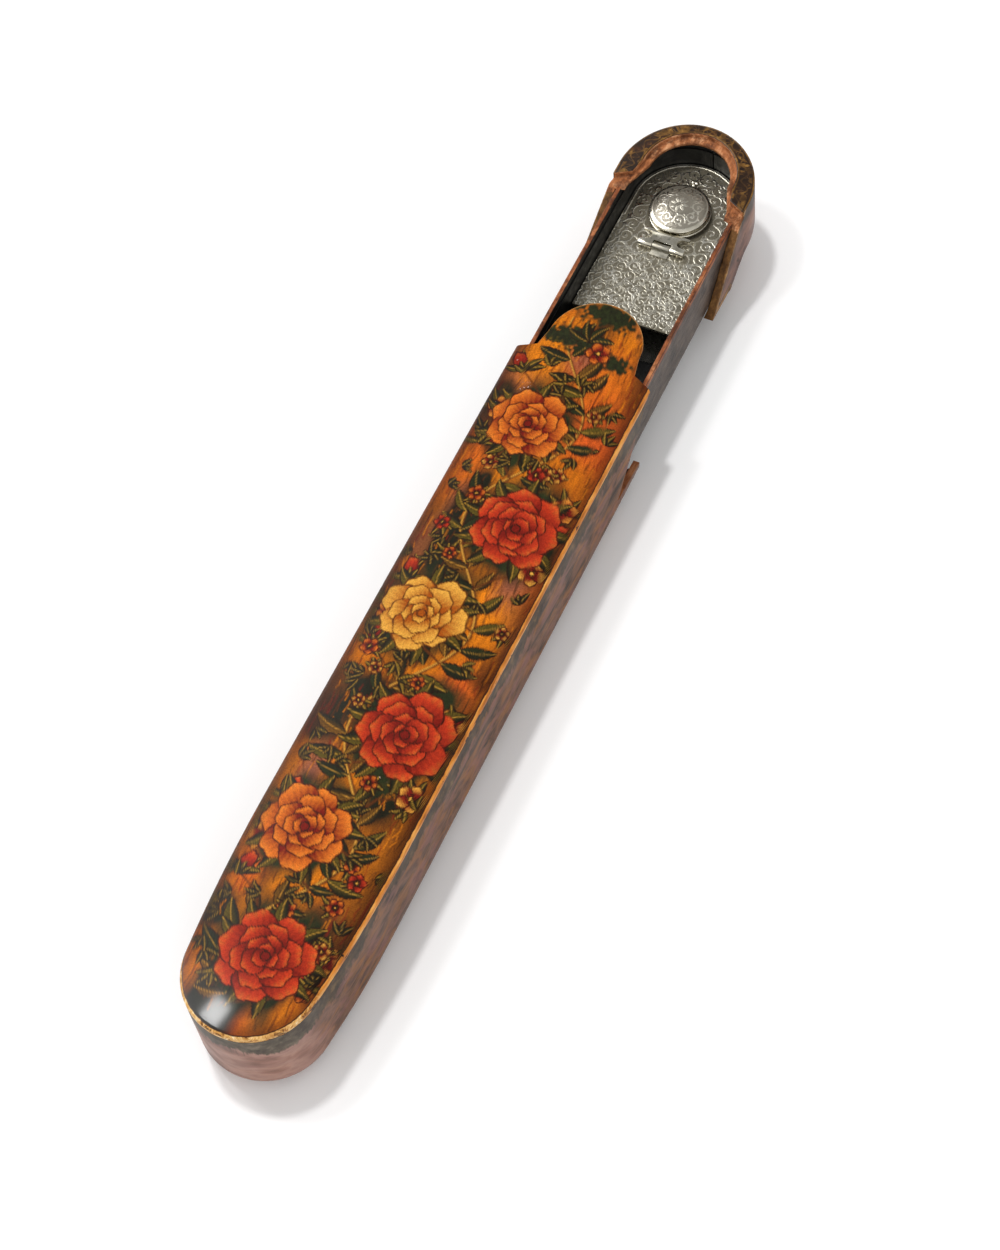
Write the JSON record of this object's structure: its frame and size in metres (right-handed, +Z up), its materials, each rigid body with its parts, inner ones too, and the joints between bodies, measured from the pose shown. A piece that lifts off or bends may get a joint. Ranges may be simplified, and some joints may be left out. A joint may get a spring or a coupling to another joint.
{
  "type": "pen box",
  "caption": "Lacquered pen box: a round-ended sleeve with a sliding tray, whose head holds a silver inkwell with a hinged domed lid",
  "frame": {"origin": "middle of the sleeve's flat base, on the surface that the box lies on", "axes": "+X along the box towards the tray's head, +Y across it, +Z up"},
  "size_m": [0.285, 0.038, 0.0319],
  "materials": {
    "painted_lacquer": "varnished painted papier-mache, amber ground",
    "head_lacquer": "varnished papier-mache, dark brown with gold scrollwork",
    "bare_papier_mache": "painted papier-mache with bare red-brown edges",
    "black_lining": "dull black",
    "silver": "engraved silver, satin",
    "polished_silver": "polished silver",
    "inked_silk": "silk threads soaked in ink"
  },
  "bodies": {
    "sleeve": {"sleeve_shell": "painted_lacquer"},
    "tray": {"tray_trough": "bare_papier_mache", "tray_head": "head_lacquer", "tray_lining": "black_lining", "inkwell_box": "silver", "inkwell_plate": "silver", "mouth_collar": "silver", "hinge_leaf": "silver", "hinge_pin": "silver", "ink_wadding": "inked_silk"},
    "lid": {"lid_step": "polished_silver", "lid_dome": "silver", "lid_flange": "silver", "lid_strap": "silver", "lid_thumbpiece": "polished_silver"}
  },
  "joints": [
    {"name": "tray_slide", "type": "slide", "parent": "sleeve", "child": "tray", "axis": [1, 0, 0], "range_m": [-0.0614, 0.158]},
    {"name": "lid_hinge", "type": "hinge", "parent": "tray", "child": "lid", "pos_m": [0.15005, 0, 0.02085], "axis": [0, -1, 0], "range_deg": [0, 161]}
  ]
}
